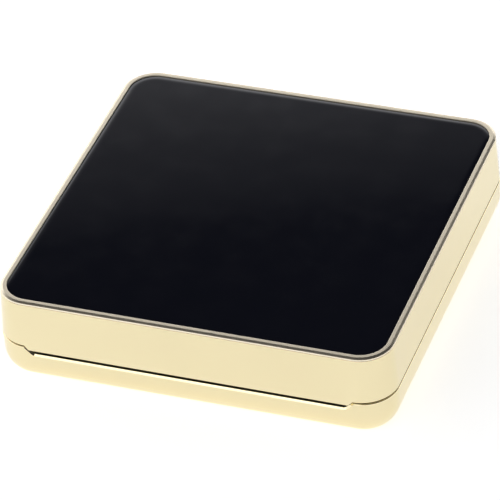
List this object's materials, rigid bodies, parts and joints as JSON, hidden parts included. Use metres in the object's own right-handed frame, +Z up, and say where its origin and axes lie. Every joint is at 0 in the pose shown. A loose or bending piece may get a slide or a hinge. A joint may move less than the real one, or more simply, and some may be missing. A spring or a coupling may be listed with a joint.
{
  "type": "powder compact",
  "caption": "Closed square powder compact with rounded corners, pale gold shells, a framed black lid inlay, thumb lip, inner mirror, powder pan and puff.",
  "frame": {"origin": "centre of the resting face, under the middle of the case", "axes": "+Z up, -Y the front with the thumb lip, +Y the hinge side, +X to the right seen from the front"},
  "size_m": [0.0756, 0.0759, 0.0182],
  "materials": {
    "gold_metallised_abs": "vacuum-metallised pale gold, lacquered, glossy",
    "bezel_satin_metal": "satin champagne, anodised",
    "black_acrylic": "deep black, polished",
    "black_abs": "fine spark-eroded texture, moulded",
    "silvered_glass": "silvered float glass",
    "pan_aluminium": "stamped, bright",
    "pressed_powder": "pressed cosmetic powder, matte",
    "clear_film": "clear polyester film",
    "puff_velour": "flocked cotton velour",
    "satin_ribbon": "woven satin",
    "magnet_nickel": "nickel-plated",
    "weight_steel": "zinc-plated sheet",
    "pin_steel": "drawn wire",
    "adhesive_tape": "foam and transfer tape",
    "label_paper": "blank coated paper"
  },
  "bodies": {
    "base": {"base_shell": "gold_metallised_abs", "base_label": "label_paper", "base_weight": "weight_steel", "inner_tray": "black_abs", "base_magnet": "magnet_nickel", "pan_adhesive": "adhesive_tape", "powder_pan": "pan_aluminium", "powder_cake": "pressed_powder", "powder_film": "clear_film", "hinge_pin": "pin_steel", "puff": "puff_velour", "puff_ribbon": "satin_ribbon"},
    "lid": {"lid_shell": "gold_metallised_abs", "lid_bezel": "bezel_satin_metal", "inlay_adhesive": "adhesive_tape", "lid_inlay": "black_acrylic", "mirror_adhesive": "adhesive_tape", "mirror": "silvered_glass", "mirror_frame": "black_abs", "lid_magnet": "magnet_nickel"}
  },
  "joints": [
    {"name": "lid_hinge", "type": "hinge", "parent": "base", "child": "lid", "pos_m": [0, 0.03605, 0.01144], "axis": [-1, 0, 0], "range_deg": [0, 120]}
  ]
}
